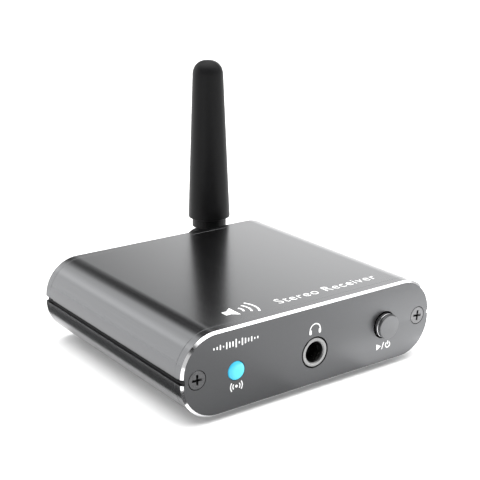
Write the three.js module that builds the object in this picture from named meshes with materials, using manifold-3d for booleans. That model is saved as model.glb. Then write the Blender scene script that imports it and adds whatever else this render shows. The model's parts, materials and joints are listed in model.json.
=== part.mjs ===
// Bluetooth audio receiver with a folding antenna, in millimetres, +Z up.
// The origin is under the middle of the object, on the surface it stands on. -Y is the front panel's side.

import * as THREE from 'three';
import { mergeVertices } from 'three/addons/utils/BufferGeometryUtils.js';
import Module from 'manifold-3d';

const wasm = await Module();
wasm.setup();

// ---------------------------------------------------------------- driving dimensions
// Case frame: x from the middle, y back from the front face, z up from the case's underside.

const CASE = { width: 55, height: 15, depth: 48.5, corner: 6.9, wall: 1.2 };
const PANEL = { thickness: 2, chamfer: 0.4 };
const GROOVE = { low: 7.15, high: 8.2, depth: 0.65, flare: 0.25 };
const FOOT = { radius: 2.5, height: 1, x: 17.5, inset: 7 };
const SCREW = { x: 24.5, z: 7.5, head: 1.62, headDepth: 0.62, shank: 1, length: 7, boss: 2.4 };
const RECESS = { width: 0.5, span: 2, depth: 0.6 };
const GAP = 0.05;

const BOARD = { halfWidth: 23.5, low: 2.4, high: 3.6, front: 3.4, back: 46 };
const RAIL = { reach: 1.4, thickness: 0.8 };
const DECK = BOARD.high + 0.02;

const LIGHT = { x: -16.76, z: 7.18, radius: 1.6, proud: 0.35, shoulder: 0.25, hole: 1.7 };
const LIGHT_FLANGE = { radius: 1.95, thickness: 1 };
const LIGHT_HOLDER = { front: 3, back: 5.4, halfWidth: 2.6, top: 9.1 };
const LEAD = { pitch: 2.54, thickness: 0.5 };

const JACK = { x: 0, z: 6.2, bore: 1.8, ring: 2.65, hole: 2.9, ringBack: 3.15, chamfer: 0.3 };
const JACK_BODY = { halfWidth: 3.2, back: 14.5, top: 8.9, bore: 2.4, end: 13.5 };
const JACK_SPRING = { halfWidth: 0.7, halfLength: 1.2, thickness: 0.25, tip: 11, ring: 7.5 };

const BUTTON = { x: 16.26, z: 7.54, radius: 2.3, proud: 1.35, hole: 2.6, travel: 0.3, edge: 0.2 };
const BUTTON_FLANGE = { radius: 3.2, thickness: 0.8 };
const SWITCH = { halfWidth: 3, top: 9.9, front: 5, back: 8.5, well: 7.6, bore: 1.9, frame: 0.3 };
const PLUNGER = { radius: 1.7, front: 2.9 };

const PHONO = { x: [-7.8, 6.2], z: 7.5, shell: 4.15, wall: 0.4, hole: 4.35, tip: 54.6 };
const PHONO_BODY = { front: 36.5, back: 46.3, margin: 4.8, top: 12.9 };
const PHONO_PIN = { bore: 1.65, wall: 0.35, tip: 53.6 };

const USB = { x: -17.7, z: 5.25, halfWidth: 4.47, halfHeight: 1.58, wall: 0.35, front: 41, round: 0.95 };
const USB_CLEARANCE = 0.17;
const USB_TONGUE = { halfWidth: 3.35, halfHeight: 0.35, back: 47.8, base: 42.6 };

// Antenna and its connector: everything turns about one axis along Y, and the arm tilts about HINGE.
const AXIS = { x: 18.5, z: 7.5 };
const HINGE = { y: 59.75, pin: 1, pinHalf: 3.75 };
const SOCKET = { halfWidth: 3.2, front: 38.5, back: 45.5, barrel: 3.1, bore: 2.3, tip: 54.6, hole: 3.4 };
const SOCKET_CONTACT = { front: 40.1, back: 50, radius: 0.72, bore: 0.55, depth: 3, clearance: 0.8 };
const NUT = { flats: 8, front: 49, back: 55.6, lip: 0.5, bore: 3.25, lipBore: 2.4 };
const FERRULE = { radius: 2.15, bore: 1.9, front: 50.2, back: 57.1 };
const FERRULE_FLANGE = { radius: 3.1, thickness: 0.35 };
const CONNECTOR_PIN = { radius: 0.45, front: 47.6, clearance: 0.55, insulatorFront: 50.4 };
const KNUCKLE = { radius: 4, half: 3.85, front: 55.75, slotHalf: 2.1, slotFront: 57.3 };
const TONGUE = { half: 1.95, radius: 2.3 };
const ARM = { neck: 3.75, neckLow: 4.1, spigot: 3.4, spigotLow: 5.1, spigotTop: 9.6, bore: 0.9 };
const SLEEVE = { low: 6.2, rim: 4.6, taperTop: 37.4, top: 3.35, tip: 40.9, wall: 0.8 };
const RADIATOR = { radius: 2.3, wall: 0.3, low: 12, high: 30 };
const COAX = { radius: 0.7, low: 3.4, high: 32 };

// Sides of a turned piece, and steps in each half of a quarter arc of an outline.
const FINE = 32;
const MEDIUM = 24;
const COARSE = 12;
const CASE_ARC = 6;
const SMALL_ARC = 3;

// The row's origin sits midway between the button's face and the back of the antenna sleeve.
const FRONT_FACE_Y = -(HINGE.y + SLEEVE.rim - BUTTON.proud) / 2;

// ---------------------------------------------------------------- materials

const finish = (color, roughness, metalness) => () => (
  new THREE.MeshStandardMaterial({ color, roughness, metalness })
);
const anodised = finish(0x7d7f83, 0.45, 0.9);
const nickel = finish(0xc9cbce, 0.25, 1);
const darkSteel = finish(0x5c5e62, 0.35, 1);
const brass = finish(0xb8963f, 0.3, 1);
const blackPlastic = finish(0x1b1c1f, 0.5, 0);
const satinBlack = finish(0x222327, 0.4, 0);
const rubber = finish(0x151515, 0.9, 0);
const boardGreen = finish(0x14532d, 0.5, 0);
const cyanLens = finish(0x5fe9ff, 0.2, 0);
const whitePlastic = finish(0xf2f2ee, 0.4, 0);
const redPlastic = finish(0xb3201f, 0.4, 0);
const chipBlack = finish(0x202124, 0.6, 0);

// ---------------------------------------------------------------- solids

function toSolid(geometry) {
  geometry.deleteAttribute('normal');
  geometry.deleteAttribute('uv');
  const merged = mergeVertices(geometry, 1e-4);
  const corners = merged.index.array;
  const triangles = [];
  for (let i = 0; i < corners.length; i += 3) {
    const [a, b, c] = corners.slice(i, i + 3);
    if (a !== b && b !== c && c !== a) triangles.push(a, b, c);
  }
  return new wasm.Manifold(new wasm.Mesh({
    numProp: 3,
    vertProperties: merged.attributes.position.array,
    triVerts: Uint32Array.from(triangles),
  }));
}

function toGeometry(solid) {
  const mesh = solid.getMesh();
  const geometry = new THREE.BufferGeometry();
  geometry.setAttribute('position', new THREE.BufferAttribute(mesh.vertProperties, 3));
  geometry.setIndex(new THREE.BufferAttribute(mesh.triVerts, 1));
  geometry.computeVertexNormals();
  return geometry;
}

const cut = (solid, ...tools) => tools.reduce((left, tool) => left.subtract(tool), solid);
const join = (solid, ...others) => others.reduce((sum, other) => sum.add(other), solid);

function block([x0, x1], [y0, y1], [z0, z1]) {
  const box = new THREE.BoxGeometry(x1 - x0, y1 - y0, z1 - z0);
  return toSolid(box.translate((x0 + x1) / 2, (y0 + y1) / 2, (z0 + z1) / 2));
}

const around = (middle, half) => [middle - half, middle + half];

// A round bar about the line through (x, z) along Y.
function barY(x, z, radius, y0, y1, sides = MEDIUM) {
  const bar = new THREE.CylinderGeometry(radius, radius, y1 - y0, sides);
  return toSolid(bar.translate(x, (y0 + y1) / 2, z));
}

function barX(y, z, radius, x0, x1, sides = MEDIUM) {
  const bar = new THREE.CylinderGeometry(radius, radius, x1 - x0, sides);
  return toSolid(bar.rotateZ(Math.PI / 2).translate((x0 + x1) / 2, y, z));
}

function barZ(x, y, radius, z0, z1, sides = MEDIUM) {
  const bar = new THREE.CylinderGeometry(radius, radius, z1 - z0, sides);
  return toSolid(bar.rotateX(Math.PI / 2).translate(x, y, (z0 + z1) / 2));
}

// A profile of [radius, y] points turned about the line through (x, z) along Y.
function turnedY(x, z, profile, sides = FINE) {
  const points = profile.map(([radius, y]) => new THREE.Vector2(radius, y));
  return toSolid(new THREE.LatheGeometry(points, sides).translate(x, 0, z));
}

// A profile of [radius, z] points turned about the upright line through (x, y).
function turnedZ(x, y, profile, sides = FINE) {
  const points = profile.map(([radius, z]) => new THREE.Vector2(radius, z));
  return toSolid(new THREE.LatheGeometry(points, sides).rotateX(Math.PI / 2).translate(x, y, 0));
}

// An outline drawn in x and z, pushed back along Y from y0 to y1.
function extrudedY(shape, y0, y1, segments = SMALL_ARC) {
  const slab = new THREE.ExtrudeGeometry(shape, {
    depth: y1 - y0, bevelEnabled: false, curveSegments: segments,
  });
  return toSolid(slab.rotateX(Math.PI / 2).translate(0, y1, 0));
}

function roundedOutline([x0, x1], [z0, z1], radius) {
  const shape = new THREE.Shape();
  shape.absarc(x1 - radius, z0 + radius, radius, -Math.PI / 2, 0);
  shape.absarc(x1 - radius, z1 - radius, radius, 0, Math.PI / 2);
  shape.absarc(x0 + radius, z1 - radius, radius, Math.PI / 2, Math.PI);
  shape.absarc(x0 + radius, z0 + radius, radius, Math.PI, Math.PI * 1.5);
  return shape;
}

const receiver = new THREE.Group();
const unit = new THREE.Group();
unit.position.set(0, FRONT_FACE_Y, FOOT.height);
receiver.add(unit);

function place(name, solid, material) {
  const mesh = new THREE.Mesh(toGeometry(solid), material());
  mesh.name = name;
  unit.add(mesh);
}

// ---------------------------------------------------------------- case and panels

const halfWidth = CASE.width / 2;
const rearPanelFront = CASE.depth - PANEL.thickness;

function caseOutline(inset) {
  const x = [-halfWidth + inset, halfWidth - inset];
  return roundedOutline(x, [inset, CASE.height - inset], CASE.corner - inset);
}

// The groove is cut into both sides over the whole depth; its upper lip slopes.
function grooves(y0, y1) {
  return [-1, 1].map((side) => {
    const shape = new THREE.Shape();
    shape.moveTo(side * (halfWidth + 1), GROOVE.low);
    shape.lineTo(side * (halfWidth + 1), GROOVE.high + GROOVE.flare);
    shape.lineTo(side * halfWidth, GROOVE.high);
    shape.lineTo(side * (halfWidth - GROOVE.depth), GROOVE.high - GROOVE.flare);
    shape.lineTo(side * (halfWidth - GROOVE.depth), GROOVE.low);
    return extrudedY(shape, y0, y1);
  });
}

function screwHoles(frontward, face) {
  const clearance = SCREW.shank + 2 * GAP;
  const outside = 0.5;
  const mouth = face - frontward * outside;
  const sinkEnd = face + frontward * SCREW.head;
  const sink = [[0, mouth], [SCREW.head + GAP + outside, mouth], [GAP, sinkEnd], [0, sinkEnd]];
  const y = around(face, PANEL.thickness + 1);
  return [-1, 1].flatMap((side) => [
    barY(side * SCREW.x, SCREW.z, clearance, ...y, COARSE),
    turnedY(side * SCREW.x, SCREW.z, frontward > 0 ? sink : sink.toReversed(), MEDIUM),
  ]);
}

function caseTube() {
  const y = [PANEL.thickness, rearPanelFront];
  const outer = extrudedY(caseOutline(0), ...y, CASE_ARC);
  const inner = extrudedY(caseOutline(CASE.wall), 0, CASE.depth, CASE_ARC);
  const railTop = BOARD.high + 2 * GAP + RAIL.thickness;
  const railsAndBosses = [-1, 1].flatMap((side) => {
    const inward = side * (BOARD.halfWidth - RAIL.reach);
    const x = [inward, side * halfWidth].sort((a, b) => a - b);
    return [
      block(x, y, [CASE.wall / 2, BOARD.low - GAP]),
      block(x, y, [BOARD.high + GAP, railTop]),
      barY(side * SCREW.x, SCREW.z, SCREW.boss, ...y),
    ];
  });
  const insides = railsAndBosses.map((solid) => solid.intersect(outer));
  const channels = [-1, 1].map((side) => (
    barY(side * SCREW.x, SCREW.z, SCREW.shank + GAP, 0, CASE.depth, COARSE)
  ));
  const walls = join(cut(outer, inner), ...insides);
  return cut(walls, ...channels, ...grooves(0, CASE.depth));
}

// A chamfered plate whose chamfer faces -Y, from y = 0 back to the panel's thickness.
function chamferedPlate() {
  const { chamfer, thickness } = PANEL;
  const slab = new THREE.ExtrudeGeometry(caseOutline(0), {
    depth: thickness * 2, curveSegments: CASE_ARC, bevelSegments: 1,
    bevelThickness: chamfer, bevelSize: chamfer, bevelOffset: -chamfer,
  });
  slab.rotateX(Math.PI / 2).translate(0, thickness * 2 + chamfer, 0);
  const beyond = block(around(0, CASE.width), [thickness, CASE.width], around(0, CASE.width));
  return cut(toSolid(slab), beyond, ...grooves(-1, thickness + 1));
}

function frontPanel() {
  const y = [-1, PANEL.thickness + 1];
  return cut(
    chamferedPlate(),
    ...screwHoles(1, 0),
    barY(LIGHT.x, LIGHT.z, LIGHT.hole, ...y),
    barY(JACK.x, JACK.z, JACK.hole, ...y, FINE),
    barY(BUTTON.x, BUTTON.z, BUTTON.hole, ...y, FINE),
  );
}

function rearPanel() {
  const y = [rearPanelFront - 1, CASE.depth + 1];
  const plate = chamferedPlate().mirror([0, 1, 0]).translate([0, CASE.depth, 0]);
  const usbReach = [USB.halfWidth + USB_CLEARANCE, USB.halfHeight + USB_CLEARANCE];
  const usbX = around(USB.x, usbReach[0]);
  const usbZ = around(USB.z, usbReach[1]);
  return cut(
    plate,
    ...screwHoles(-1, CASE.depth),
    ...PHONO.x.map((x) => barY(x, PHONO.z, PHONO.hole, ...y, FINE)),
    barY(AXIS.x, AXIS.z, SOCKET.hole, ...y),
    extrudedY(roundedOutline(usbX, usbZ, usbReach[1] * USB.round), ...y),
  );
}

// A countersunk screw whose head faces -Y (direction 1) or +Y (direction -1) at the plane y = face.
function screw(x, face, direction) {
  const { head, headDepth, shank, length } = SCREW;
  const profile = [[0, 0], [head, 0], [shank, headDepth], [shank, length], [0, length]]
    .map(([radius, y]) => [radius, face + direction * y]);
  const body = turnedY(x, SCREW.z, direction > 0 ? profile : profile.reverse(), COARSE);
  const y = around(face, RECESS.depth);
  const wide = block(around(x, RECESS.span / 2), y, around(SCREW.z, RECESS.width / 2));
  const tall = block(around(x, RECESS.width / 2), y, around(SCREW.z, RECESS.span / 2));
  return cut(body, wide, tall);
}

function addCase() {
  place('case_tube', caseTube(), anodised);
  place('front_panel', frontPanel(), anodised);
  place('rear_panel', rearPanel(), anodised);
  for (const [side, x] of [['left', -SCREW.x], ['right', SCREW.x]]) {
    place(`front_screw_${side}`, screw(x, 0, 1), darkSteel);
    place(`rear_screw_${side}`, screw(x, CASE.depth, -1), darkSteel);
    for (const [end, y] of [['front', FOOT.inset], ['rear', CASE.depth - FOOT.inset]]) {
      const footX = Math.sign(x) * FOOT.x;
      place(`foot_${end}_${side}`, barZ(footX, y, FOOT.radius, -FOOT.height, 0), rubber);
    }
  }
}

// ---------------------------------------------------------------- circuit board and what is on it

// Boards and chips: [name, x, y, width, depth, height, material], standing on the deck.
const CHIPS = [
  ['dac_chip', -13, 24, 6, 6, 0.9, chipBlack],
  ['headphone_amp_chip', -4, 17.5, 3.2, 3.2, 0.8, chipBlack],
  ['clock_crystal', -13, 30, 3.2, 2.5, 0.8, nickel],
  ['voltage_regulator', -18, 35, 6.5, 3.6, 1.6, chipBlack],
  ['power_inductor', -18, 29.5, 5, 5, 3, chipBlack],
];
const CAPACITOR = { radius: 2, height: 5.2, places: [[-12, 14], [-6, 32.5], [10, 13], [16, 13]] };
const MODULE = { x: [-1, 16], y: [18, 33], thickness: 0.8 };
const CAN = { inset: 1.5, antennaEnd: 4, height: 1.8, wall: 0.25 };

function shieldCan() {
  const x = [MODULE.x[0] + CAN.inset, MODULE.x[1] - CAN.antennaEnd];
  const y = [MODULE.y[0] + CAN.inset, MODULE.y[1] - CAN.inset];
  const low = DECK + MODULE.thickness + GAP;
  const inward = ([a, b]) => [a + CAN.wall, b - CAN.wall];
  const top = low + CAN.height;
  return cut(block(x, y, [low, top]), block(inward(x), inward(y), [low - 1, top - CAN.wall]));
}

function addBoard() {
  const { halfWidth: half, front, back, low, high } = BOARD;
  place('circuit_board', block(around(0, half), [front, back], [low, high]), boardGreen);
  for (const [name, x, y, width, depth, height, material] of CHIPS) {
    const chip = block(around(x, width / 2), around(y, depth / 2), [DECK, DECK + height]);
    place(name, chip, material);
  }
  CAPACITOR.places.forEach(([x, y], i) => {
    const can = barZ(x, y, CAPACITOR.radius, DECK, DECK + CAPACITOR.height, COARSE);
    place(`capacitor_${i + 1}`, can, nickel);
  });
  const moduleBoard = block(MODULE.x, MODULE.y, [DECK, DECK + MODULE.thickness]);
  place('bluetooth_module_board', moduleBoard, boardGreen);
  place('module_shield_can', shieldCan(), nickel);
}

// ---------------------------------------------------------------- status light

function lightLens() {
  const { radius, proud, shoulder } = LIGHT;
  const base = LIGHT_HOLDER.back + GAP;
  const back = base + LIGHT_FLANGE.thickness;
  const profile = [
    [0, -proud], [radius * 0.6, shoulder * 0.35 - proud], [radius * 0.9, shoulder - proud],
    [radius, shoulder * 2 - proud], [radius, base],
    [LIGHT_FLANGE.radius, base], [LIGHT_FLANGE.radius, back], [0, back],
  ];
  return turnedY(LIGHT.x, LIGHT.z, profile, MEDIUM);
}

function lightLead(x) {
  const half = LEAD.thickness / 2;
  const base = LIGHT_HOLDER.back + LIGHT_FLANGE.thickness + 2 * GAP;
  const bend = base + 2 * LEAD.thickness;
  const out = block(around(x, half), [base, bend], around(LIGHT.z, half));
  const down = block(around(x, half), [bend - LEAD.thickness, bend], [DECK, LIGHT.z + half]);
  return join(out, down);
}

function addLight() {
  const { front, back, halfWidth: half, top } = LIGHT_HOLDER;
  const holder = block(around(LIGHT.x, half), [front, back], [DECK, top]);
  const bore = barY(LIGHT.x, LIGHT.z, LIGHT.radius + GAP, front - 1, back + 1);
  place('led_lens', lightLens(), cyanLens);
  place('led_holder', cut(holder, bore), blackPlastic);
  place('led_anode_lead', lightLead(LIGHT.x - LEAD.pitch / 2), nickel);
  place('led_cathode_lead', lightLead(LIGHT.x + LEAD.pitch / 2), nickel);
}

// ---------------------------------------------------------------- headphone socket

function addJack() {
  const { x, z, bore, ring, ringBack, chamfer } = JACK;
  const ringProfile = [
    [bore, chamfer], [bore + chamfer, 0], [ring, 0], [ring, ringBack], [bore, ringBack], [bore, chamfer],
  ];
  place('jack_bushing', turnedY(x, z, ringProfile), nickel);

  const front = ringBack + GAP;
  const body = block(around(x, JACK_BODY.halfWidth), [front, JACK_BODY.back], [DECK, JACK_BODY.top]);
  const well = barY(x, z, JACK_BODY.bore, front - 1, JACK_BODY.end);
  place('jack_housing', cut(body, well), blackPlastic);

  const { halfWidth: half, halfLength, thickness } = JACK_SPRING;
  for (const [name, side] of [['tip', 1], ['ring', -1]]) {
    const middle = z + side * (bore + GAP + thickness / 2);
    const y = around(JACK_SPRING[name], halfLength);
    place(`jack_${name}_spring`, block(around(x, half), y, around(middle, thickness / 2)), brass);
  }
}

// ---------------------------------------------------------------- push button and its switch

function buttonCap() {
  const { radius, proud, edge, x, z } = BUTTON;
  const base = PANEL.thickness + GAP;
  const back = base + BUTTON_FLANGE.thickness;
  const profile = [
    [0, -proud], [radius - edge, -proud], [radius, edge - proud], [radius, base],
    [BUTTON_FLANGE.radius, base], [BUTTON_FLANGE.radius, back], [0, back],
  ];
  return turnedY(x, z, profile);
}

function addButton() {
  const { x, z } = BUTTON;
  place('button_cap', buttonCap(), anodised);
  const plungerBack = SWITCH.well - 2 * BUTTON.travel;
  place('switch_plunger', barY(x, z, PLUNGER.radius, PLUNGER.front, plungerBack), blackPlastic);

  const span = around(x, SWITCH.halfWidth);
  const well = barY(x, z, SWITCH.bore, 0, SWITCH.well);
  const body = block(span, [SWITCH.front, SWITCH.back], [DECK, SWITCH.top]);
  place('switch_body', cut(body, well), blackPlastic);
  const frameBack = SWITCH.front - GAP;
  const frame = block(span, [frameBack - SWITCH.frame, frameBack], [DECK, SWITCH.top]);
  place('switch_frame', cut(frame, well), nickel);
}

// ---------------------------------------------------------------- line outputs

// A tube about the line through (x, z) along Y.
function tubeY(x, z, outer, bore, y0, y1, sides = MEDIUM) {
  return turnedY(x, z, [[bore, y0], [outer, y0], [outer, y1], [bore, y1], [bore, y0]], sides);
}

function addPhono() {
  const { z, shell, wall, tip } = PHONO;
  const { front, back, margin, top } = PHONO_BODY;
  const span = [PHONO.x[0] - margin, PHONO.x[1] + margin];
  place('rca_housing', block(span, [front, back], [DECK, top]), blackPlastic);
  const base = back + GAP;
  const contact = PHONO_PIN.bore + PHONO_PIN.wall;
  const colours = [whitePlastic, redPlastic];
  ['left', 'right'].forEach((side, i) => {
    const x = PHONO.x[i];
    place(`rca_shell_${side}`, tubeY(x, z, shell, shell - wall, base, tip), nickel);
    const insulator = tubeY(x, z, shell - wall - GAP, contact + GAP, base, tip - wall);
    place(`rca_insulator_${side}`, insulator, colours[i]);
    const pin = tubeY(x, z, contact, PHONO_PIN.bore, base, PHONO_PIN.tip, COARSE);
    place(`rca_contact_${side}`, pin, brass);
  });
}

// ---------------------------------------------------------------- power inlet

function addUsb() {
  const { x, z, halfWidth: half, halfHeight: tall, wall, front, round } = USB;
  const pill = (inset) => (
    roundedOutline(around(x, half - inset), around(z, tall - inset), (tall - inset) * round)
  );
  const outer = extrudedY(pill(0), front, CASE.depth);
  place('usb_shell', cut(outer, extrudedY(pill(wall), front - 1, CASE.depth + 1)), nickel);
  const base = extrudedY(pill(wall + GAP), front, USB_TONGUE.base);
  const tongue = block(
    around(x, USB_TONGUE.halfWidth), [front + 1, USB_TONGUE.back], around(z, USB_TONGUE.halfHeight),
  );
  place('usb_tongue', join(base, tongue), blackPlastic);
}

// ---------------------------------------------------------------- antenna socket on the board

function addSocket() {
  const { x, z } = AXIS;
  const { halfWidth: half, barrel, bore, tip } = SOCKET;
  const body = join(
    block(around(x, half), [SOCKET.front, SOCKET.back], [DECK, z + half]),
    barY(x, z, barrel, SOCKET.back - 1, tip),
  );
  const { front, back, clearance, depth, radius } = SOCKET_CONTACT;
  const well = barY(x, z, bore, front - 2 * GAP, tip + 1);
  place('sma_socket', cut(body, well), brass);
  place('sma_insulator', tubeY(x, z, bore - 2 * GAP, clearance, front, back), whitePlastic);
  const contact = barY(x, z, radius, front, back, COARSE);
  const hole = barY(x, z, SOCKET_CONTACT.bore, back - depth, back + 1, COARSE);
  place('sma_contact', cut(contact, hole), brass);
}

// ---------------------------------------------------------------- antenna

function couplingNut() {
  const { x, z } = AXIS;
  const { flats, front, back, lip, bore, lipBore } = NUT;
  const corner = flats / 2 / Math.cos(Math.PI / 6);
  const hex = new THREE.CylinderGeometry(corner, corner, back - front, 6);
  return cut(
    toSolid(hex.translate(x, (front + back) / 2, z)),
    barY(x, z, bore, front - 1, back - lip),
    barY(x, z, lipBore, front, back + 1),
  );
}

function ferrule() {
  const { radius, bore, front, back } = FERRULE;
  const rim = FERRULE_FLANGE.radius;
  const flangeBack = NUT.back - NUT.lip - GAP;
  const flangeFront = flangeBack - FERRULE_FLANGE.thickness;
  return turnedY(AXIS.x, AXIS.z, [
    [bore, front], [radius, front], [radius, flangeFront], [rim, flangeFront],
    [rim, flangeBack], [radius, flangeBack], [radius, back], [bore, back], [bore, front],
  ], MEDIUM);
}

// The fork: a round bar along the connector's axis, cut flat above and below, with a rounded end
// about the hinge and a slot for the tongue.
function knuckle() {
  const { radius, half, front, slotHalf, slotFront } = KNUCKLE;
  const { x, z } = AXIS;
  const reach = radius + 1;
  const side = join(
    block(around(x, reach), [front, HINGE.y], around(z, half)),
    barX(HINGE.y, z, half, x - reach, x + reach, FINE),
  );
  const bar = barY(x, z, radius, front, HINGE.y + half, FINE);
  return cut(
    bar.intersect(side),
    block(around(x, slotHalf), [slotFront, HINGE.y + reach], around(z, reach)),
    barY(x, z, FERRULE.radius + GAP, front - 1, slotFront + 1),
    barX(HINGE.y, z, HINGE.pin + GAP, x - reach, x + reach, COARSE),
  );
}

// The arm: a flat tongue round the hinge pin, the neck on it, and a spigot inside the sleeve.
function arm() {
  const { neck, neckLow, spigot, spigotLow, spigotTop, bore } = ARM;
  const { x, z } = AXIS;
  const y = HINGE.y;
  const solid = join(
    barX(y, z, TONGUE.radius, x - TONGUE.half, x + TONGUE.half),
    block(around(x, TONGUE.half), around(y, TONGUE.radius), [z, z + spigotLow]),
    barZ(x, y, neck, z + neckLow, z + SLEEVE.low - GAP, FINE),
    barZ(x, y, spigot, z + spigotLow, z + spigotTop),
  );
  return cut(
    solid,
    barX(y, z, HINGE.pin + 2 * GAP, x - neck, x + neck, COARSE),
    barZ(x, y, bore, z + COAX.low - GAP, z + spigotTop + 1, COARSE),
  );
}

function sleeve() {
  const { low, rim, taperTop, top, tip, wall } = SLEEVE;
  const dome = [];
  const steps = 5;
  for (let i = 1; i < steps; i += 1) {
    const angle = (i / steps) * (Math.PI / 2);
    dome.push([Math.cos(angle), Math.sin(angle)]);
  }
  const domed = (radius, base, height) => dome.map(([c, s]) => [radius * c, base + height * s]);
  const outside = [[rim, low], [top, taperTop], ...domed(top, taperTop, tip - taperTop), [0, tip]];
  const inTop = top - wall;
  const inTip = tip - wall;
  const inside = [
    [rim - wall, low], [inTop, taperTop], ...domed(inTop, taperTop, inTip - taperTop), [0, inTip],
  ];
  const profile = [...outside, ...inside.reverse(), outside[0]];
  const raised = profile.map(([radius, height]) => [radius, AXIS.z + height]);
  return turnedZ(AXIS.x, HINGE.y, raised);
}

function tubeZ(x, y, outer, bore, z0, z1) {
  const profile = [[bore, z0], [outer, z0], [outer, z1], [bore, z1], [bore, z0]];
  return turnedZ(x, y, profile, MEDIUM);
}

function addAntenna() {
  const { x, z } = AXIS;
  place('coupling_nut', couplingNut(), nickel);
  place('connector_ferrule', ferrule(), brass);
  const { radius: pinRadius, front: pinFront, clearance, insulatorFront } = CONNECTOR_PIN;
  const dielectric = tubeY(x, z, FERRULE.bore - GAP, clearance, insulatorFront, FERRULE.back);
  place('connector_dielectric', dielectric, whitePlastic);
  place('connector_pin', barY(x, z, pinRadius, pinFront, FERRULE.back, COARSE), brass);
  place('antenna_knuckle', knuckle(), satinBlack);
  const pin = barX(HINGE.y, z, HINGE.pin, x - HINGE.pinHalf, x + HINGE.pinHalf, COARSE);
  place('hinge_pin', pin, nickel);
  place('antenna_arm', arm(), satinBlack);
  place('antenna_sleeve', sleeve(), satinBlack);
  const { radius, wall, low, high } = RADIATOR;
  place('radiator_tube', tubeZ(x, HINGE.y, radius, radius - wall, z + low, z + high), brass);
  place('antenna_coax', barZ(x, HINGE.y, COAX.radius, z + COAX.low, z + COAX.high, COARSE), chipBlack);
}

addCase();
addBoard();
addLight();
addJack();
addButton();
addPhono();
addUsb();
addSocket();
addAntenna();

export default receiver;
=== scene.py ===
"""Bluetooth audio receiver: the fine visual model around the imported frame. Metres, +Z up, -Y is the front."""

import json
import math
import random

import bmesh
import bpy
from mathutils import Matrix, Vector


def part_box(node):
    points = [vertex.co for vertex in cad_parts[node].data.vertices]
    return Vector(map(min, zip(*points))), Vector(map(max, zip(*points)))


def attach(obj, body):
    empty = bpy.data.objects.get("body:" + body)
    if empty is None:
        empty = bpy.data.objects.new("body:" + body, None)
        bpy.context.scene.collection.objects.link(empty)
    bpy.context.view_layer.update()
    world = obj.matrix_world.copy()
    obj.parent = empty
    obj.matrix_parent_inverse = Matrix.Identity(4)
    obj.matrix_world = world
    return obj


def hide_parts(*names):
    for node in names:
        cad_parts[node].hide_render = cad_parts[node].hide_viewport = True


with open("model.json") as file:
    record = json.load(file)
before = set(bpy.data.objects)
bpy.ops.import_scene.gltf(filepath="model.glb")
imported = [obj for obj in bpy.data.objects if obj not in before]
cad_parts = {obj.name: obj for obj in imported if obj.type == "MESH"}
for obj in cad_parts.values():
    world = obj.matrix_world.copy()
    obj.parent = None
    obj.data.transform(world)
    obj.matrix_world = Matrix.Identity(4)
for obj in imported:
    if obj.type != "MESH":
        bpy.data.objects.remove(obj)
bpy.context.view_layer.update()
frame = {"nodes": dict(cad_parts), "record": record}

random.seed(7)
MM = 0.001


def middle(node):
    low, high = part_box(node)
    return (low + high) / 2


def span(node):
    low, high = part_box(node)
    return high - low


# ---------------------------------------------------------------- places, from the frame

PANEL_LOW, PANEL_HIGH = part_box("front_panel")
FRONT, PANEL_BACK = PANEL_LOW.y, PANEL_HIGH.y
REAR_INNER, REAR = (corner.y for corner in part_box("rear_panel"))
UNDER, TOP = PANEL_LOW.z, PANEL_HIGH.z
HALF_WIDTH = PANEL_HIGH.x

CORNER = 6.9 * MM
WALL = 1.2 * MM
CHAMFER = 0.4 * MM
SEAM = 0.02 * MM
LIP = 0.03 * MM
GROOVE_LOW, GROOVE_HIGH, GROOVE_DEPTH = UNDER + 7.15 * MM, UNDER + 8.2 * MM, 0.65 * MM
ARC_STEPS = 28

LIGHT = middle("led_lens")
LIGHT_RADIUS = 1.6 * MM
JACK = middle("jack_bushing")
JACK_RING, JACK_BORE = span("jack_bushing").x / 2, 1.8 * MM
BUTTON = middle("button_cap")
BUTTON_RADIUS = 2.3 * MM
SCREW_RADIUS = span("front_screw_left").x / 2
BOSS_BORE, BOSS_RADIUS = 1.05 * MM, 2.4 * MM
AXIS = middle("hinge_pin")
SLEEVE_LOW, SLEEVE_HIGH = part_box("antenna_sleeve")

# ---------------------------------------------------------------- mesh helpers


def add_object(name, bm, materials, sharp=32):
    bmesh.ops.recalc_face_normals(bm, faces=bm.faces)
    mesh = bpy.data.meshes.new(name)
    bm.to_mesh(mesh)
    bm.free()
    for face in mesh.polygons:
        face.use_smooth = True
    mesh.set_sharp_from_angle(angle=math.radians(sharp))
    for material in materials:
        mesh.materials.append(material)
    obj = bpy.data.objects.new(name, mesh)
    bpy.context.scene.collection.objects.link(obj)
    return obj


def stand_for(obj, body, slot, *nodes):
    """The piece rides the body and stands for the CAD nodes; the slot is not used."""
    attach(obj, body)
    if nodes:
        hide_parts(*nodes)
    return obj


def soften(obj, width, segments=2, angle=35):
    """A small rounded edge wherever two faces meet at more than the angle."""
    bevel = obj.modifiers.new("soft_edges", "BEVEL")
    bevel.width = width
    bevel.segments = segments
    bevel.limit_method = "ANGLE"
    bevel.angle_limit = math.radians(angle)
    bevel.harden_normals = True


def along(axis, u, v, w):
    """A point w along the axis, with u and v across it."""
    return Vector({"X": (w, u, v), "Y": (u, w, v), "Z": (u, v, w)}[axis])


def bridge(bm, first, second, closed=True):
    """Faces between two rings of vertices; a ring of one vertex is a tip."""
    faces = []
    count = max(len(first), len(second))
    for i in range(count if closed else count - 1):
        j = (i + 1) % count
        corners = [
            first[i % len(first)], first[j % len(first)], second[j % len(second)], second[i % len(second)],
        ]
        unique = list(dict.fromkeys(corners))
        if len(unique) > 2:
            faces.append(bm.faces.new(unique))
    return faces


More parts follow.
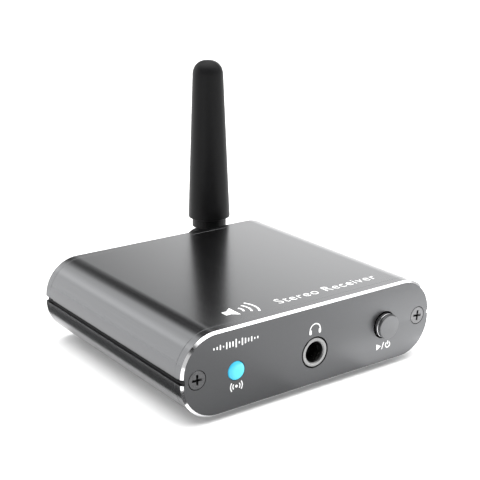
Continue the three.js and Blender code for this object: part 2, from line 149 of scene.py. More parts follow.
def turned(name, profile, centre, axis, materials, sides=72, closed=False, sharp=32, second_bands=()):
    """A profile of (radius, place along the axis) turned about the axis through the centre.

    The bands of the profile that are numbered in second_bands take the second material.
    """
    bm = bmesh.new()
    rings = []
    for radius, place in profile:
        steps = sides if radius > 0 else 1
        angles = [2 * math.pi * k / steps for k in range(steps)]
        ring = [along(axis, radius * math.cos(a), radius * math.sin(a), place) for a in angles]
        keep = along(axis, 1, 1, 0)
        offset = Vector(c * k for c, k in zip(centre, keep))
        rings.append([bm.verts.new(p + offset) for p in ring])
    pairs = list(zip(rings, rings[1:]))
    if closed:
        pairs.append((rings[-1], rings[0]))
    for band, (start, end) in enumerate(pairs):
        for face in bridge(bm, start, end):
            face.material_index = int(band in second_bands)
    return add_object(name, bm, materials, sharp)


def circle(x, z, radius, sides=64):
    angles = [2 * math.pi * k / sides for k in range(sides)]
    return [(x + radius * math.cos(a), z + radius * math.sin(a)) for a in angles]


def arc(x, z, radius, start, end, steps):
    turns = [math.radians(start + (end - start) * k / steps) for k in range(steps + 1)]
    return [(x + radius * math.cos(a), z + radius * math.sin(a)) for a in turns]


def rounded_rectangle(x, z, half_x, half_z, radius, steps=10):
    corners = [(1, -1, -90), (1, 1, 0), (-1, 1, 90), (-1, -1, 180)]
    return [
        point
        for sx, sz, start in corners
        for point in arc(
            x + sx * (half_x - radius), z + sz * (half_z - radius), radius, start, start + 90, steps,
        )
    ]


def case_outline(inset, groove_depth):
    """The case's section: almost half-round sides, with a groove along each of them."""
    edge = HALF_WIDTH - inset
    radius = CORNER - inset
    centre_x = HALF_WIDTH - CORNER
    low, high = UNDER + CORNER, TOP - CORNER
    depth = max(groove_depth, 0.0)
    notch = [
        (0.0, GROOVE_LOW), (depth * 0.9, GROOVE_LOW + 0.02 * MM), (depth, GROOVE_LOW + 0.12 * MM),
        (depth, GROOVE_HIGH - 0.36 * MM), (depth * 0.55, GROOVE_HIGH - 0.14 * MM), (0.0, GROOVE_HIGH),
    ]
    right = arc(centre_x, low, radius, -90, 0, ARC_STEPS)
    right += [(edge - inward, z) for inward, z in notch]
    right += arc(centre_x, high, radius, 2, 90, ARC_STEPS)
    left = [(-x, z) for x, z in reversed(right)]
    return right + left


def in_groove(face):
    """True for the walls and the floor of the groove along the case's side."""
    centre = face.calc_center_median()
    low, high = GROOVE_LOW - 0.01 * MM, GROOVE_HIGH + 0.01 * MM
    return low < centre.z < high and abs(centre.x) > HALF_WIDTH - GROOVE_DEPTH - CHAMFER


def solid_plate(name, outer, holes, materials):
    """A plate from outer rings and hole rings, each a list of (outline, y) from front to back.

    The first band of its rim takes the second material, the rest of the rim the third, the groove the fourth,
    which paints shade into the groove.
    """
    bm = bmesh.new()

    def rings_of(stack):
        return [[bm.verts.new((x, y, z)) for x, z in outline] for outline, y in stack]

    stacks = [rings_of(stack) for stack in (outer, *holes)]
    for index, stack in enumerate(stacks):
        for step, (first, second) in enumerate(zip(stack, stack[1:])):
            for face in bridge(bm, first, second):
                if index == 0:
                    face.material_index = 3 if in_groove(face) else min(step, 1) + 1
    for end in (0, -1):
        edges = []
        for stack in stacks:
            ring = stack[end]
            edges += [bm.edges.get((a, b)) for a, b in zip(ring, ring[1:] + ring[:1])]
        bmesh.ops.triangle_fill(bm, edges=edges, use_beauty=True)
    return add_object(name, bm, materials, sharp=25)


# ---------------------------------------------------------------- materials


def surface(name, colour, roughness, metallic=0.0, **sockets):
    material = bpy.data.materials.new(name)
    material.use_nodes = True
    shader = material.node_tree.nodes["Principled BSDF"]
    shader.inputs["Base Color"].default_value = (*colour, 1)
    shader.inputs["Roughness"].default_value = roughness
    shader.inputs["Metallic"].default_value = metallic
    for socket, value in sockets.items():
        shader.inputs[socket.replace("_", " ")].default_value = value
    return material


def grain(material, scale, stretch=(1, 1, 1), tone=0.1, shine=0.05, relief=0.1, height=0.01 * MM, detail=4):
    """Uneven tone, gloss and fine relief from one noise, stretched along the tool marks."""
    nodes, links = material.node_tree.nodes, material.node_tree.links
    shader = nodes["Principled BSDF"]
    colour = shader.inputs["Base Color"].default_value[:3]
    roughness = shader.inputs["Roughness"].default_value
    place = nodes.new("ShaderNodeTexCoord")
    mapping = nodes.new("ShaderNodeMapping")
    mapping.inputs["Scale"].default_value = stretch
    noise = nodes.new("ShaderNodeTexNoise")
    noise.inputs["Scale"].default_value = scale
    noise.inputs["Detail"].default_value = detail
    links.new(place.outputs["Object"], mapping.inputs["Vector"])
    links.new(mapping.outputs["Vector"], noise.inputs["Vector"])

    tones = nodes.new("ShaderNodeValToRGB")
    tones.color_ramp.elements[0].position = 0.3
    tones.color_ramp.elements[1].position = 0.7
    tones.color_ramp.elements[0].color = (*[c * (1 - tone) for c in colour], 1)
    tones.color_ramp.elements[1].color = (*[min(1, c * (1 + tone)) for c in colour], 1)
    links.new(noise.outputs["Fac"], tones.inputs["Fac"])
    links.new(tones.outputs["Color"], shader.inputs["Base Color"])

    gloss = nodes.new("ShaderNodeMapRange")
    gloss.inputs["From Min"].default_value = 0.3
    gloss.inputs["From Max"].default_value = 0.7
    gloss.inputs["To Min"].default_value = max(0.02, roughness - shine)
    gloss.inputs["To Max"].default_value = min(1, roughness + shine)
    links.new(noise.outputs["Fac"], gloss.inputs["Value"])
    links.new(gloss.outputs["Result"], shader.inputs["Roughness"])

    bump = nodes.new("ShaderNodeBump")
    bump.inputs["Strength"].default_value = relief
    bump.inputs["Distance"].default_value = height
    links.new(noise.outputs["Fac"], bump.inputs["Height"])
    links.new(bump.outputs["Normal"], shader.inputs["Normal"])
    return material


GUNMETAL = (0.150, 0.152, 0.156)
PANEL_GREY = (0.074, 0.075, 0.077)
EVEN = (1, 1, 1)
DRAWN = (6, 0.05, 6)

case_metal = grain(surface("anodised_case", GUNMETAL, 0.2, 1.0), 900, DRAWN, 0.03, 0.02, 0.02)
panel_metal = grain(surface("anodised_panel", PANEL_GREY, 0.36, 1.0), 5000, EVEN, 0.03, 0.03, 0.05)
# The groove takes a much darker, rougher copy of the case metal: painted shade in the groove.
groove_painted_shade_metal = grain(surface("groove_painted_shade", (0.03, 0.03, 0.031), 0.45, 1.0), 900, DRAWN, 0.1, 0.05, 0.05)
cut_metal = grain(surface("diamond_cut", (0.93, 0.93, 0.94), 0.16, 1.0), 3000, EVEN, 0.02, 0.04, 0.04)
# The button's side wall takes a much lighter copy of the button metal with ring-shaped bands of tone. The bands
# are partly turning marks; the lighter tone and the bands are also a painted sheen.
button_side_painted_sheen = grain(
    surface("button_side_painted_sheen_metal", (0.6, 0.6, 0.61), 0.25, 1.0), 1500, (0.1, 8, 0.1), 0.2, 0.08, 0.1,
)
button_metal = grain(
    surface("anodised_button", (0.085, 0.086, 0.088), 0.34, 1.0), 4000, EVEN, 0.04, 0.04, 0.05,
)
screw_metal = grain(surface("blackened_steel", (0.088, 0.088, 0.09), 0.32, 1.0), 3000, EVEN, 0.15, 0.08, 0.12)
nickel = grain(surface("nickel_plate", (0.5, 0.5, 0.49), 0.2, 1.0), 2500, EVEN, 0.03, 0.03, 0.02)
ring_metal = grain(surface("ring_plate", (0.19, 0.19, 0.19), 0.3, 1.0), 2500, EVEN, 0.04, 0.04, 0.03)
brass = grain(surface("plated_brass", (0.6, 0.45, 0.17), 0.25, 1.0), 2500, EVEN, 0.08, 0.06, 0.08)
antenna_black = grain(
    surface("antenna_black", (0.005, 0.005, 0.0055), 0.42, IOR=1.22), 2600, EVEN, 0.2, 0.04, 0.08,
)
black_plastic = grain(surface("black_plastic", (0.012, 0.012, 0.013), 0.45), 2200, EVEN, 0.2, 0.06, 0.15)
foot_rubber = grain(surface("foot_rubber", (0.015, 0.015, 0.015), 0.8), 1500, EVEN, 0.25, 0.08, 0.3)
board_green = grain(surface("solder_mask", (0.012, 0.1, 0.035), 0.3), 1200, EVEN, 0.25, 0.08, 0.15)
chip_black = grain(surface("chip_epoxy", (0.02, 0.02, 0.022), 0.55), 4000, EVEN, 0.25, 0.08, 0.2)
white_plastic = grain(surface("white_plastic", (0.75, 0.75, 0.72), 0.35), 1500, EVEN, 0.05, 0.08, 0.1)
red_plastic = grain(surface("red_plastic", (0.4, 0.01, 0.012), 0.35), 1500, EVEN, 0.1, 0.08, 0.1)
print_white = grain(surface("print_white", (0.88, 0.88, 0.88), 0.6), 4000, EVEN, 0.03, 0.05, 0.1)
lens_cyan = grain(surface(
    "lens_cyan", (0.015, 0.2, 0.25), 0.2, Emission_Color=(0.09, 0.74, 0.95, 1), Emission_Strength=0.74,
), 900, EVEN, 0.1, 0.04, 0.05)


def glow_from_middle(material, centre, reach, inner, outer):
    """Emission that runs from the inner colour at the centre to the outer colour at the rim."""
    nodes, links = material.node_tree.nodes, material.node_tree.links
    place = nodes.new("ShaderNodeTexCoord")
    mapping = nodes.new("ShaderNodeMapping")
    mapping.inputs["Scale"].default_value = (1 / reach,) * 3
    mapping.inputs["Location"].default_value = [-c / reach for c in centre]
    ball = nodes.new("ShaderNodeTexGradient")
    ball.gradient_type = "SPHERICAL"
    ramp = nodes.new("ShaderNodeValToRGB")
    ramp.color_ramp.elements[0].color = (*outer, 1)
    ramp.color_ramp.elements[1].color = (*inner, 1)
    ramp.color_ramp.elements[1].position = 0.55
    links.new(place.outputs["Object"], mapping.inputs["Vector"])
    links.new(mapping.outputs["Vector"], ball.inputs["Vector"])
    links.new(ball.outputs["Fac"], ramp.inputs["Fac"])
    links.new(ramp.outputs["Color"], nodes["Principled BSDF"].inputs["Emission Color"])


LIGHT_FACE = Vector((LIGHT.x + 0.25 * MM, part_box("led_lens")[0].y, LIGHT.z - 0.1 * MM))
glow_from_middle(lens_cyan, LIGHT_FACE, 2.1 * MM, (0.13, 0.80, 0.97), (0.02, 0.42, 0.80))

BY_SLOT = {
    "case_metal": case_metal, "panel_metal": panel_metal,
    "button_metal": button_metal, "screw_steel": screw_metal,
    "bright_nickel": nickel, "brass": brass, "black_antenna": antenna_black, "black_plastic": black_plastic,
    "foot_rubber": foot_rubber, "board_green": board_green, "chip_black": chip_black, "light_lens": lens_cyan,
    "white_plastic": white_plastic, "red_plastic": red_plastic,
}


def finish_cad_nodes():
    """Every CAD node takes the material of its slot and a fine rounded edge."""
    for entry in frame["record"]["subparts"]:
        obj = frame["nodes"][entry["node"]]
        obj.data.materials.clear()
        obj.data.materials.append(BY_SLOT[entry["material_slot"]])
        soften(obj, 0.05 * MM, 1)


# ---------------------------------------------------------------- case, panels, feet


def build_case():
    y_front, y_back = PANEL_BACK + SEAM, REAR_INNER - SEAM
    bm = bmesh.new()
    stack = [
        (case_outline(LIP, GROOVE_DEPTH - LIP), y_front), (case_outline(0, GROOVE_DEPTH), y_front + LIP),
        (case_outline(0, GROOVE_DEPTH), y_back - LIP), (case_outline(LIP, GROOVE_DEPTH - LIP), y_back),
        (case_outline(WALL, 0), y_back), (case_outline(WALL, 0), y_front),
    ]
    rings = [[bm.verts.new((x, y, z)) for x, z in outline] for outline, y in stack]
    for first, second in zip(rings, rings[1:] + rings[:1]):
        for face in bridge(bm, first, second):
            # Faces in the groove take the darker material, which paints shade into the groove.
            face.material_index = int(in_groove(face))
    shell = add_object("case_shell", bm, [case_metal, groove_painted_shade_metal], sharp=25)
    stand_for(shell, "case", "case_metal", "case_tube")
    for side, screw in (("left", "front_screw_left"), ("right", "front_screw_right")):
        centre = middle(screw)
        boss = [(BOSS_BORE, y_front), (BOSS_RADIUS, y_front), (BOSS_RADIUS, y_back), (BOSS_BORE, y_back)]
        tube = turned(f"case_boss_{side}", boss, centre, "Y", [case_metal], sides=40, closed=True)
        stand_for(tube, "case", "case_metal", "case_tube")


def screw_hole(x, z, face, back):
    """A countersunk hole's rings from the face to the back of the plate."""
    inward = 1 if back > face else -1
    shank = SCREW_RADIUS - 0.57 * MM
    return [
        (circle(x, z, SCREW_RADIUS + 0.1 * MM), face),
        (circle(x, z, SCREW_RADIUS + 0.05 * MM), face + inward * 0.12 * MM),
        (circle(x, z, shank), face + inward * 0.72 * MM),
        (circle(x, z, shank), back),
    ]


def through_hole(outline, rim, face, back):
    """A straight hole whose rim at the face is broken by a tiny bevel."""
    inward = 1 if back > face else -1
    return [(outline(rim), face), (outline(0), face + inward * rim), (outline(0), back)]


def build_panel(name, face, back, holes, node):
    inward = 1 if back > face else -1
    outer = [
        (case_outline(CHAMFER, GROOVE_DEPTH - CHAMFER), face),
        (case_outline(0, GROOVE_DEPTH), face + inward * CHAMFER),
        (case_outline(0, GROOVE_DEPTH), back - inward * LIP),
        (case_outline(LIP, GROOVE_DEPTH - LIP), back),
    ]
    plate = solid_plate(name, outer, holes, [panel_metal, cut_metal, case_metal, groove_painted_shade_metal])
    return stand_for(plate, "case", "panel_metal", node)


def build_panels():
    rim = 0.06 * MM
    front_holes = [
        screw_hole(middle(s).x, middle(s).z, FRONT, PANEL_BACK)
        for s in ("front_screw_left", "front_screw_right")
    ]
    light_gap, jack_gap, button_gap = 0.08 * MM, 0.22 * MM, 0.25 * MM
    rounds = [
        (LIGHT, LIGHT_RADIUS + light_gap), (JACK, JACK_RING + jack_gap),
        (BUTTON, BUTTON_RADIUS + button_gap),
    ]
    for centre, radius in rounds:
        front_holes.append(through_hole(
            lambda grow, c=centre, r=radius: circle(c.x, c.z, r + grow), rim, FRONT, PANEL_BACK,
        ))
    build_panel("front_plate", FRONT, PANEL_BACK, front_holes, "front_panel")

    rear_holes = [
        screw_hole(middle(s).x, middle(s).z, REAR, REAR_INNER)
        for s in ("rear_screw_left", "rear_screw_right")
    ]
    phono_hole, antenna_hole = 4.35 * MM, 3.4 * MM
    rounds = [(middle(f"rca_shell_{s}"), phono_hole) for s in ("left", "right")]
    rounds.append((AXIS, antenna_hole))
    for centre, radius in rounds:
        rear_holes.append(through_hole(
            lambda grow, c=centre, r=radius: circle(c.x, c.z, r + grow), rim, REAR, REAR_INNER,
        ))
    usb, half = middle("usb_shell"), span("usb_shell") / 2
    slack = 0.17 * MM
    rear_holes.append(through_hole(
        lambda grow: rounded_rectangle(
            usb.x, usb.z, half.x + slack + grow, half.z + slack + grow, half.z + grow, 12,
        ), rim, REAR, REAR_INNER,
    ))
    build_panel("rear_plate", REAR, REAR_INNER, rear_holes, "rear_panel")


def build_feet():
    for end in ("front", "rear"):
        for side in ("left", "right"):
            node = f"foot_{end}_{side}"
            low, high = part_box(node)
            radius = span(node).x / 2
            dish = 0.15 * MM
            profile = [
                (0, low.z + dish), (radius * 0.6, low.z + dish), (radius * 0.68, low.z),
                (radius - 0.25 * MM, low.z), (radius - 0.06 * MM, low.z + 0.08 * MM),
                (radius, low.z + 0.3 * MM), (radius, high.z), (0, high.z),
            ]
            foot = turned(f"rubber_{node}", profile, middle(node), "Z", [foot_rubber], sides=48)
            stand_for(foot, "case", "foot_rubber", node)


# ---------------------------------------------------------------- screws


def build_screw(node):
    """Countersunk screw with a cross recess: two tapering slots that narrow towards the point."""
    low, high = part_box(node)
    x, z = middle(node).x, middle(node).z
    front = "front" in node
    face, inward = (low.y, 1) if front else (high.y, -1)
    length = high.y - low.y
    turn = math.radians(random.uniform(-14, 14) + 4)
    arm, half_slot, depth = 0.98 * MM, 0.22 * MM, 0.6 * MM
    bm = bmesh.new()

    def cross(scale, width):
        """Twelve corners of a cross, anticlockwise."""
        points = []
        for quarter in range(4):
            a = quarter * math.pi / 2 + turn
            u, v = Vector((math.cos(a), math.sin(a))), Vector((-math.sin(a), math.cos(a)))
            points += [u * arm * scale - v * width, u * arm * scale + v * width, u * width + v * width]
        return [(x + p.x, z + p.y) for p in points]

    def ring(outline, y):
        return [bm.verts.new((px, y, pz)) for px, pz in outline]

    rim = ring(circle(x, z, SCREW_RADIUS - 0.06 * MM, 60), face)
    pitch, radius = 0.4 * MM, 1.0 * MM
    head = [(SCREW_RADIUS, 0.06), (SCREW_RADIUS, 0.12), (radius, 0.7)]
    shank = [rim] + [ring(circle(x, z, r, 60), face + inward * depth_mm * MM) for r, depth_mm in head]
    turns = int((length - 1.2 * MM) / pitch)
    for k in range(turns):
        base = face + inward * (1.0 * MM + k * pitch)
        shank.append(ring(circle(x, z, radius, 60), base))
        shank.append(ring(circle(x, z, radius * 0.82, 60), base + inward * pitch / 2))
    shank.append(ring(circle(x, z, radius * 0.6, 60), face + inward * length))
    for first, second in zip(shank, shank[1:]):
        bridge(bm, first, second)
    bm.faces.new(shank[-1])
    mouth = ring(cross(1.0, half_slot), face)
    edge = ring(cross(0.94, half_slot * 0.85), face + inward * 0.1 * MM)
    floor = ring(cross(0.45, half_slot * 0.6), face + inward * depth)
    bridge(bm, mouth, edge)
    bridge(bm, edge, floor)
    bm.faces.new(floor)
    edges = [
        bm.edges.get((a, b)) for loop in (rim, mouth) for a, b in zip(loop, loop[1:] + loop[:1])
    ]
    bmesh.ops.triangle_fill(bm, edges=edges, use_beauty=True)
    screw = add_object(f"machine_{node}", bm, [screw_metal], sharp=28)
    stand_for(screw, "case", "screw_steel", node)


# ---------------------------------------------------------------- light, socket, button


def build_light():
    low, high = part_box("led_lens")
    dome = 0.35 * MM
    body = 1.6 * MM
    flange = span("led_lens").x / 2
    profile = [(0, low.y)]
    steps = 10
    for k in range(1, steps + 1):
        a = math.pi / 2 * k / steps
        profile.append((body * math.sin(a), low.y + dome * (1 - math.cos(a))))
    base = high.y - 1.0 * MM
    edge = 0.1 * MM
    profile += [(body, base), (flange, base), (flange, high.y - edge), (flange - edge, high.y), (0, high.y)]
    lens = turned("status_light_lens", profile, LIGHT, "Y", [lens_cyan], sides=64)
    stand_for(lens, "case", "light_lens", "led_lens")


def build_jack():
    low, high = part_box("jack_bushing")
    funnel, edge = 0.28 * MM, 0.08 * MM
    profile = [
        (JACK_BORE, low.y + funnel * 1.6), (JACK_BORE + funnel * 0.35, low.y + funnel * 0.6),
        (JACK_BORE + funnel, low.y + 0.02 * MM), (JACK_BORE + funnel + edge, low.y),
        (JACK_RING - edge, low.y), (JACK_RING, low.y + edge), (JACK_RING, high.y), (JACK_BORE, high.y),
    ]
    ring = turned("socket_ring", profile, JACK, "Y", [ring_metal], closed=True, sharp=20)
    stand_for(ring, "case", "bright_nickel", "jack_bushing")


def build_button():
    low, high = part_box("button_cap")
    radius, edge = BUTTON_RADIUS, 0.16 * MM
    flange = span("button_cap").x / 2
    back = high.y - 0.8 * MM
    line, notch = low.y + 0.62 * MM, 0.07 * MM
    profile = [
        (0, low.y), (radius - edge * 1.15, low.y), (radius - edge, low.y + 0.01 * MM),
        (radius - edge * 0.3, low.y + edge * 0.4), (radius, low.y + edge),
        (radius, line), (radius - notch, line + notch), (radius, line + 2 * notch), (radius, back),
        (flange, back), (flange, high.y - 0.08 * MM), (flange - 0.08 * MM, high.y), (0, high.y),
    ]
    # The side wall takes the lighter copy of the button metal, a painted sheen.
    side_bands = range(4, 8)
    cap = turned(
        "push_button_cap", profile, BUTTON, "Y", [button_metal, button_side_painted_sheen],
        sides=96, sharp=20, second_bands=side_bands,
    )
    stand_for(cap, "button", "button_metal", "button_cap")


# ---------------------------------------------------------------- printed marks


def flat_mark(name, outlines, surface_of, thickness=0.012 * MM):
    """A thin raised print from flat outlines. surface_of maps (u, v, height) to the row frame."""
    bm = bmesh.new()
    for outline in outlines:
        low = [bm.verts.new(surface_of(u, v, 0.0)) for u, v in outline]
        high = [bm.verts.new(surface_of(u, v, thickness)) for u, v in outline]
        bridge(bm, low, high)
        for ring in (low, high):
            edges = [bm.edges.get((a, b)) for a, b in zip(ring, ring[1:] + ring[:1])]
            bmesh.ops.triangle_fill(bm, edges=edges, use_beauty=True)
    mark = add_object(name, bm, [print_white])
    return stand_for(mark, "case", "white_plastic")


def on_front(u, v, height):
    return Vector((u, FRONT - height, v))


def on_top(u, v, height):
    return Vector((u, v, TOP + height))


def stroke_arc(x, z, radius, start, end, width, steps=24):
    """A band of the given width along an arc, as one outline."""
    return arc(x, z, radius + width / 2, start, end, steps) + arc(x, z, radius - width / 2, end, start, steps)


def stroke_line(a, b, width):
    a, b = Vector(a), Vector(b)
    side = (b - a).normalized().orthogonal() * width / 2
    return [tuple(a + side), tuple(a - side), tuple(b - side), tuple(b + side)]


def build_front_marks():
    # Headphones over the socket: a head band and two ear cups.
    x, z, radius = JACK.x - 0.05 * MM, UNDER + 10.45 * MM, 1.12 * MM
    band = stroke_arc(x, z, radius, 0, 180, 0.2 * MM)
    cups = [
        rounded_rectangle(x + side * (radius - 0.08 * MM), z - 0.32 * MM, 0.24 * MM, 0.44 * MM, 0.2 * MM, 6)
        for side in (-1, 1)
    ]
    flat_mark("headphone_mark", [band, *cups], on_front)

    # A dot between radio waves under the light.
    x, z = LIGHT.x, UNDER + 4.4 * MM
    waves = [circle(x, z, 0.26 * MM, 24)]
    for side in (0, 180):
        for radius in (0.72, 1.2):
            waves.append(stroke_arc(x, z, radius * MM, side - 38, side + 38, 0.2 * MM, 12))
    flat_mark("light_mark", waves, on_front)

    # Play and power under the button.
    z = UNDER + 3.5 * MM
    left = BUTTON.x - 1.75 * MM
    play = [(left, z - 0.6 * MM), (left + 1.05 * MM, z), (left, z + 0.6 * MM)]
    slash = stroke_line((left + 1.3 * MM, z - 0.65 * MM), (left + 1.75 * MM, z + 0.65 * MM), 0.16 * MM)
    power_x = left + 2.75 * MM
    power = stroke_arc(power_x, z - 0.05 * MM, 0.52 * MM, 125, 415, 0.18 * MM)
    stem = stroke_line((power_x, z), (power_x, z + 0.68 * MM), 0.18 * MM)
    flat_mark("button_mark", [play, slash, power, stem], on_front)

    # A sound wave of upright bars at the upper left.
    start, end, z = -21.2 * MM, -12.4 * MM, UNDER + 12.1 * MM
    bars = 15
    shapes = []
    for k in range(bars):
        x = start + (end - start) * k / (bars - 1)
        swell = math.sin(math.pi * (k + 0.5) / bars)
        half = (0.16 + 0.62 * swell * abs(math.sin(1.9 * k + 0.6))) * MM
        shapes.append(rounded_rectangle(x, z, 0.13 * MM, half, 0.12 * MM, 4))
    flat_mark("sound_wave_mark", shapes, on_front)


def build_top_marks():
    # A loudspeaker with three waves.
    x, y = -14.3 * MM, FRONT + 5.7 * MM
    unit = 1.75 * MM
    speaker = [
        (x - 0.55 * unit, y - 0.42 * unit), (x, y - 0.42 * unit), (x + 0.75 * unit, y - unit),
        (x + 0.75 * unit, y + unit), (x, y + 0.42 * unit), (x - 0.55 * unit, y + 0.42 * unit),
    ]
    shapes = [speaker]
    for radius in (1.15, 2.1, 3.05):
        shapes.append(stroke_arc(x + 1.2 * MM, y, radius * unit * 0.8, -32, 32, 0.36 * MM, 16))
    flat_mark("loudspeaker_mark", shapes, on_top)

    words = bpy.data.curves.new("words", "FONT")
    words.body = "Stereo Receiver"
    words.size = 3.1 * MM
    words.space_character = 1.12
    words.extrude = 0.006 * MM
    words.offset = -0.02 * MM
    holder = bpy.data.objects.new("words_curve", words)
    bpy.context.scene.collection.objects.link(holder)
    holder.location = (-4.8 * MM, FRONT + 4.1 * MM, TOP + 0.006 * MM)
    bpy.context.view_layer.update()
    mesh = bpy.data.meshes.new_from_object(holder.evaluated_get(bpy.context.evaluated_depsgraph_get()))
    mesh.transform(holder.matrix_world)
    mesh.materials.clear()
    mesh.materials.append(print_white)
    bpy.data.objects.remove(holder)
    piece = bpy.data.objects.new("receiver_words_mark", mesh)
    bpy.context.scene.collection.objects.link(piece)
    stand_for(piece, "case", "white_plastic")


# ---------------------------------------------------------------- antenna


def build_sleeve():
    low, high = SLEEVE_LOW, SLEEVE_HIGH
    rim = span("antenna_sleeve").x / 2
    top = 3.35 * MM
    taper_top = high.z - 3.5 * MM
    wall = 0.8 * MM
    profile = [
        (rim - wall, low.z + 0.06 * MM), (rim - wall + 0.06 * MM, low.z), (rim - 0.1 * MM, low.z),
        (rim - 0.02 * MM, low.z + 0.06 * MM), (rim, low.z + 0.2 * MM),
    ]
    steps = 22
    for k in range(1, 9):
        share = k / 8
        profile.append((rim + (top - rim) * share, low.z + (taper_top - low.z) * share))
    for k in range(1, steps + 1):
        a = math.pi / 2 * k / steps
        radius = top * math.cos(a) ** 0.86 if k < steps else 0
        profile.append((radius, taper_top + (high.z - taper_top) * math.sin(a) ** 0.86))
    inner_top = high.z - wall
    for k in range(steps, -1, -1):
        a = math.pi / 2 * k / steps
        radius = (top - wall) * math.cos(a) if k < steps else 0
        profile.append((radius, taper_top + (inner_top - taper_top) * math.sin(a)))
    sleeve = turned(
        "antenna_tapered_sleeve", profile, AXIS, "Z", [antenna_black], sides=96, closed=True, sharp=40,
    )
    stand_for(sleeve, "antenna", "black_antenna", "antenna_sleeve")


def build_nut():
    """Hexagonal coupling nut with chamfered corners and a stepped bore at one end."""
    low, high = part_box("coupling_nut")
    flats = span("coupling_nut").x / 2
    corner = flats / math.cos(math.pi / 6)
    bm = bmesh.new()
    sides = 72

    def hex_radius(angle, limit):
        turn = (angle + math.pi / 6) % (math.pi / 3) - math.pi / 6
        return min(flats / math.cos(turn), limit)

    def ring(y, limit):
        points = []
        for k in range(sides):
            a = 2 * math.pi * k / sides
            r = hex_radius(a, limit)
            points.append(bm.verts.new((AXIS.x + r * math.cos(a), y, AXIS.z + r * math.sin(a))))
        return points

    edge = 0.55 * MM
    bore, lip = 3.25 * MM, 2.4 * MM
    lip_front = high.y - 0.5 * MM
    rings = [
        ring(low.y, bore), ring(low.y, flats * 0.97), ring(low.y + edge * 0.6, corner * 0.985),
        ring(low.y + edge * 1.2, corner), ring(high.y - edge * 1.2, corner),
        ring(high.y - edge * 0.6, corner * 0.985), ring(high.y, flats * 0.97),
        ring(high.y, lip), ring(lip_front, lip), ring(lip_front, bore),
    ]
    for first, second in zip(rings, rings[1:] + rings[:1]):
        bridge(bm, first, second)
    nut = add_object("hex_coupling_nut", bm, [nickel], sharp=22)
    stand_for(nut, "coupling_nut", "bright_nickel", "coupling_nut")


def build_line_outputs():
    for side in ("left", "right"):
        shell = f"rca_shell_{side}"
        low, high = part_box(shell)
        outer = span(shell).x / 2
        inner = outer - 0.4 * MM
        profile = [
            (inner, low.y), (outer, low.y), (outer, high.y - 0.5 * MM),
            (outer - 0.05 * MM, high.y - 0.15 * MM), (outer - 0.14 * MM, high.y),
            (inner + 0.08 * MM, high.y), (inner, high.y - 0.08 * MM),
        ]
        tube = turned(f"phono_shell_{side}", profile, middle(shell), "Y", [nickel], closed=True)
        stand_for(tube, "case", "bright_nickel", shell)
        core = f"rca_insulator_{side}"
        low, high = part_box(core)
        outer, bore = span(core).x / 2, 2.05 * MM
        edge = 0.12 * MM
        profile = [
            (bore, low.y), (outer, low.y), (outer, high.y - edge), (outer - edge, high.y),
            (bore + edge * 3, high.y), (bore + edge * 2, high.y - edge * 2), (bore, high.y - edge * 3),
        ]
        colour, slot = (white_plastic, "white_plastic") if side == "left" else (red_plastic, "red_plastic")
        ring = turned(f"phono_insulator_{side}", profile, middle(core), "Y", [colour], closed=True)
        stand_for(ring, "case", slot, core)


# ---------------------------------------------------------------- floor, light, camera

JUST_ABOVE_FLOOR = 0.3 * MM

STUDIO_BASE = 0.6
# Soft bright and dark regions of the studio: direction, inner and outer cosine, strength.
# They are set for what the metal reflects towards the camera.
STUDIO_REGIONS = [
    ((0, 0, 1), 0.90, 0.66, 2.7),
    ((0.763, 0.640, 0.087), 0.982, 0.862, 1.3),
    ((0.70, -0.37, 0.60), 0.98, 0.88, 1.2),
    ((-0.56, 0.77, 0.15), 0.98, 0.80, 1.5),
    ((-0.20, 0.77, 0.60), 0.985, 0.955, 1.3),
    ((0.275, 0.774, 0.57), 0.995, 0.975, -0.5),
    ((-0.36, -0.60, 0.71), 0.985, 0.925, -0.62),
]

# The left edge and the radiance of each low panel. They overlap, so the light grows to the right.
LOW_PANELS = [(-0.002, 0.8), (0.014, 1.9), (0.030, 2.4)]
LOW_PANEL_RIGHT = 0.12

LENS, YAW, PITCH = 81.476, math.radians(35.767), math.radians(17.475)
CAMERA_PLACE = (-112.22 * MM, FRONT - 133.53 * MM, UNDER + 81.41 * MM)


def build_stage():
    bm = bmesh.new()
    bmesh.ops.create_grid(bm, x_segments=1, y_segments=1, size=4)
    material = grain(surface("floor_white", (0.9, 0.9, 0.9), 0.7), 3, EVEN, 0.01, 0.05, 0.02)
    floor = add_object("floor", bm, [material])


def build_dark_card():
    """A black card on the floor beside the case, which only reflections show."""
    x, y, z = -HALF_WIDTH - 5.5 * MM, 0.0, JUST_ABOVE_FLOOR
    half_x, half_y = 4.5 * MM, 60 * MM
    bm = bmesh.new()
    corners = [(-1, -1), (1, -1), (1, 1), (-1, 1)]
    bm.faces.new([bm.verts.new((x + sx * half_x, y + sy * half_y, z)) for sx, sy in corners])
    card = add_object("dark_card", bm, [black_plastic])
    card.visible_camera = card.visible_diffuse = card.visible_shadow = card.visible_transmission = False


def area_light(name, place, target, width, depth, radiance):
    """A soft rectangular light that shines with the given radiance and is hidden from the camera."""
    data = bpy.data.lights.new(name, "AREA")
    data.shape = "RECTANGLE"
    data.size, data.size_y = width, depth
    data.energy = radiance * width * depth * math.pi
    light = bpy.data.objects.new(name, data)
    bpy.context.scene.collection.objects.link(light)
    light.location = place
    light.rotation_euler = (Vector(target) - Vector(place)).to_track_quat("-Z", "Y").to_euler()
    light.visible_camera = False
    return light


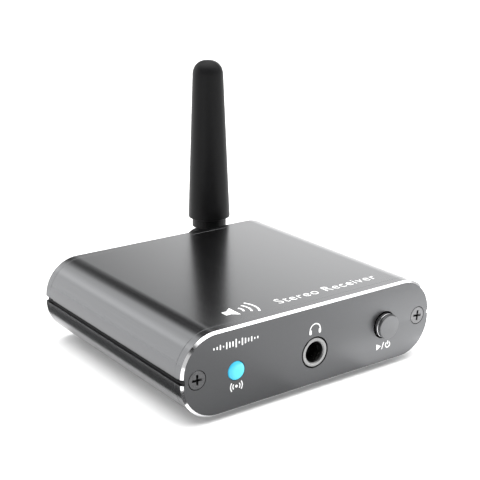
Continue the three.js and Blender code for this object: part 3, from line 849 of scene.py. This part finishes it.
def build_world():
    world = bpy.data.worlds.new("studio")
    bpy.context.scene.world = world
    world.use_nodes = True
    nodes, links = world.node_tree.nodes, world.node_tree.links
    background = nodes["Background"]
    direction = nodes.new("ShaderNodeTexCoord")
    glow = None
    for towards, inner, outer, strength in STUDIO_REGIONS:
        dot = nodes.new("ShaderNodeVectorMath")
        dot.operation = "DOT_PRODUCT"
        dot.inputs[1].default_value = Vector(towards).normalized()
        links.new(direction.outputs["Generated"], dot.inputs[0])
        fade = nodes.new("ShaderNodeMapRange")
        fade.interpolation_type = "SMOOTHSTEP"
        fade.inputs["From Min"].default_value = outer
        fade.inputs["From Max"].default_value = inner
        fade.inputs["To Min"].default_value = 0
        fade.inputs["To Max"].default_value = strength
        links.new(dot.outputs["Value"], fade.inputs["Value"])
        total = nodes.new("ShaderNodeMath")
        total.operation = "ADD"
        links.new(fade.outputs["Result"], total.inputs[0])
        if glow is None:
            total.inputs[1].default_value = STUDIO_BASE
        else:
            links.new(glow.outputs[0], total.inputs[1])
        glow = total
    path = nodes.new("ShaderNodeLightPath")
    seen = nodes.new("ShaderNodeMix")
    seen.data_type = "FLOAT"
    seen.inputs["B"].default_value = 1.0
    links.new(path.outputs["Is Camera Ray"], seen.inputs["Factor"])
    links.new(glow.outputs[0], seen.inputs["A"])
    links.new(seen.outputs["Result"], background.inputs["Strength"])
    background.inputs["Color"].default_value = (1, 1, 1, 1)


def build_lights():
    # Low panels on the floor brighten the right half of the front by reflection.
    right, near, far = LOW_PANEL_RIGHT, FRONT - 2 * MM, FRONT - 85 * MM
    for number, (left, radiance) in enumerate(LOW_PANELS):
        place = ((left + right) / 2, (near + far) / 2, JUST_ABOVE_FLOOR)
        area_light(f"low_{number}", place, (*place[:2], 1.0), right - left, near - far, radiance)
    # A long one on the floor to the front left puts a soft upright sheen on the antenna.
    x, y = AXIS.x - 0.222, AXIS.y - 0.103
    streak = area_light("streak", (x, y, JUST_ABOVE_FLOOR), (x, y, 1), 0.27, 0.035, 4.0)
    streak.rotation_euler = (math.pi, 0, math.radians(25))
    # A wide one above lifts the matt surfaces; it casts no shadow and no reflection shows it.
    fill = area_light("fill", (0, 0, 1.2), (0, 0, 0), 1.6, 1.6, 0.9)
    fill.visible_glossy = False
    fill.data.use_shadow = False


def build_camera():
    """The view from the front left, a little above, found from the case's straight edges."""
    data = bpy.data.cameras.new("camera")
    data.sensor_width = 36
    data.lens = LENS
    camera = bpy.data.objects.new("camera", data)
    bpy.context.scene.collection.objects.link(camera)
    camera.location = CAMERA_PLACE
    camera.rotation_euler = (math.pi / 2 - PITCH, 0, -YAW)
    bpy.context.scene.camera = camera
    bpy.context.scene.view_settings.view_transform = "Standard"


build_camera()
build_stage()
build_dark_card()
build_world()
build_lights()
finish_cad_nodes()
build_case()
build_panels()
build_feet()
for screw_node in ("front_screw_left", "front_screw_right", "rear_screw_left", "rear_screw_right"):
    build_screw(screw_node)
build_light()
build_jack()
build_button()
build_front_marks()
build_top_marks()
build_sleeve()
build_nut()
build_line_outputs()
